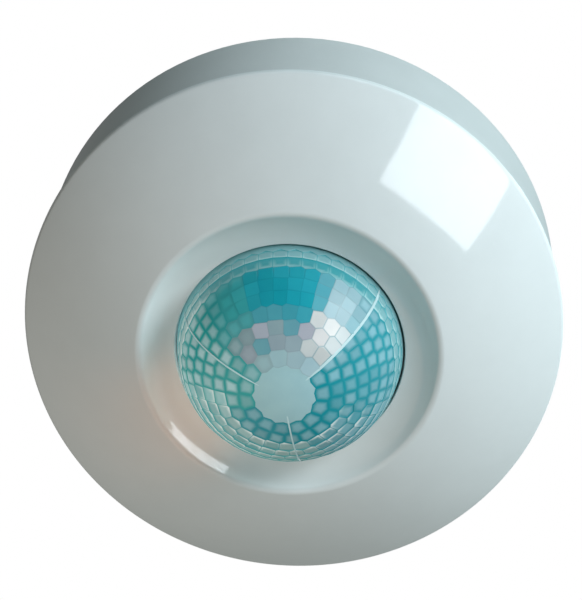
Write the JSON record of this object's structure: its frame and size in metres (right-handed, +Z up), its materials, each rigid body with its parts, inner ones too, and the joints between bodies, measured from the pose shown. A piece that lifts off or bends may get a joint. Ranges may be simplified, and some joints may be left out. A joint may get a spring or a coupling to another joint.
{
  "type": "motion sensor",
  "caption": "Round ceiling motion detector: surface-mounting base, plug-in sensor unit with a faceted dome lens, and a domed pull-off cover.",
  "frame": {"origin": "centre of the ceiling face, midway between the two screw slots", "axes": "+Z up into the ceiling, so the lens faces -Z; +X along the line of the screw slots; the supply terminals lie on the -Y side"},
  "size_m": [0.11, 0.11, 0.057],
  "materials": {
    "cover_white": "glossy moulded plastic",
    "housing_white": "satin moulded plastic",
    "lens_teal": "translucent moulded polyethylene",
    "grommet_rubber": "soft rubber",
    "case_grey": "moulded plastic",
    "black_plastic": "moulded plastic",
    "terminal_cream": "moulded polyamide",
    "contact_brass": "tinned brass",
    "screw_steel": "zinc plated",
    "spring_steel": "spring temper",
    "can_metal": "nickel plated can",
    "window_dark": "coated silicon window",
    "board_green": "solder mask",
    "board_teal": "solder mask",
    "relay_blue": "moulded plastic",
    "capacitor_sleeve": "shrink sleeve",
    "capacitor_yellow": "cast resin box",
    "varistor_blue": "epoxy coat",
    "fuse_metal": "nickel plated",
    "ferrite": "ferrite and wire",
    "led_red": "tinted epoxy",
    "light_cell": "light cell",
    "trimmer_blue": "moulded plastic",
    "dial_amber": "moulded plastic",
    "selector_red": "moulded plastic",
    "slider_white": "moulded plastic",
    "button_blue": "moulded plastic"
  },
  "bodies": {
    "sensor": {"mounting_base": "housing_white", "base_collar": "housing_white", "cable_grommet": "grommet_rubber", "terminal_block": "terminal_cream", "terminal_cages": "contact_brass", "terminal_screws": "screw_steel", "rear_case": "case_grey", "unit_screws": "screw_steel", "case_screws": "screw_steel", "plug_pins": "contact_brass", "power_board": "board_green", "relay": "relay_blue", "smoothing_capacitor": "capacitor_sleeve", "film_capacitor": "capacitor_yellow", "varistor": "varistor_blue", "fuse": "fuse_metal", "choke": "ferrite", "board_connector": "black_plastic", "connector_pins": "contact_brass", "board_spacers": "terminal_cream", "board_screws": "screw_steel", "sensor_board": "board_teal", "controller_chip": "black_plastic", "detector_cradle": "black_plastic", "detector_cans": "can_metal", "detector_windows": "window_dark", "status_leds": "led_red", "light_sensor": "light_cell", "trimmers": "trimmer_blue", "selector_switch": "selector_red", "program_switch": "black_plastic", "inner_housing": "housing_white", "snap_springs": "spring_steel", "lens": "lens_teal", "lens_ring": "housing_white", "ring_screws": "screw_steel"},
    "time_dial": {"time_dial": "dial_amber"},
    "lux_dial": {"lux_dial": "dial_amber"},
    "range_dial": {"range_dial": "dial_amber"},
    "slider_1": {"slider_1": "slider_white"},
    "slider_2": {"slider_2": "slider_white"},
    "slider_3": {"slider_3": "slider_white"},
    "slider_4": {"slider_4": "slider_white"},
    "program_button": {"program_button": "button_blue"},
    "cover": {"cover": "cover_white"}
  },
  "joints": [
    {"name": "cover_pull", "type": "slide", "parent": "sensor", "child": "cover", "axis": [0, 0, -1], "range_m": [0, 0.045]},
    {"name": "time_turn", "type": "hinge", "parent": "sensor", "child": "time_dial", "pos_m": [0.0345, 0, -0.0275], "axis": [0, 0, -1], "range_deg": [-135, 135]},
    {"name": "lux_turn", "type": "hinge", "parent": "sensor", "child": "lux_dial", "pos_m": [0.01725, -0.02988, -0.0275], "axis": [0, 0, -1], "range_deg": [-135, 135]},
    {"name": "range_turn", "type": "hinge", "parent": "sensor", "child": "range_dial", "pos_m": [-0.01725, -0.02988, -0.0275], "axis": [0, 0, -1], "range_deg": [-135, 135]},
    {"name": "slider_1_slide", "type": "slide", "parent": "sensor", "child": "slider_1", "axis": [-1, 0, 0], "range_m": [0, 0.0012]},
    {"name": "slider_2_slide", "type": "slide", "parent": "sensor", "child": "slider_2", "axis": [-1, 0, 0], "range_m": [0, 0.0012]},
    {"name": "slider_3_slide", "type": "slide", "parent": "sensor", "child": "slider_3", "axis": [-1, 0, 0], "range_m": [0, 0.0012]},
    {"name": "slider_4_slide", "type": "slide", "parent": "sensor", "child": "slider_4", "axis": [-1, 0, 0], "range_m": [0, 0.0012]},
    {"name": "program_press", "type": "slide", "parent": "sensor", "child": "program_button", "axis": [0, 0, 1], "range_m": [0, 0.0005], "stiffness_N_per_m": 1000, "springref_m": -0.0005}
  ]
}
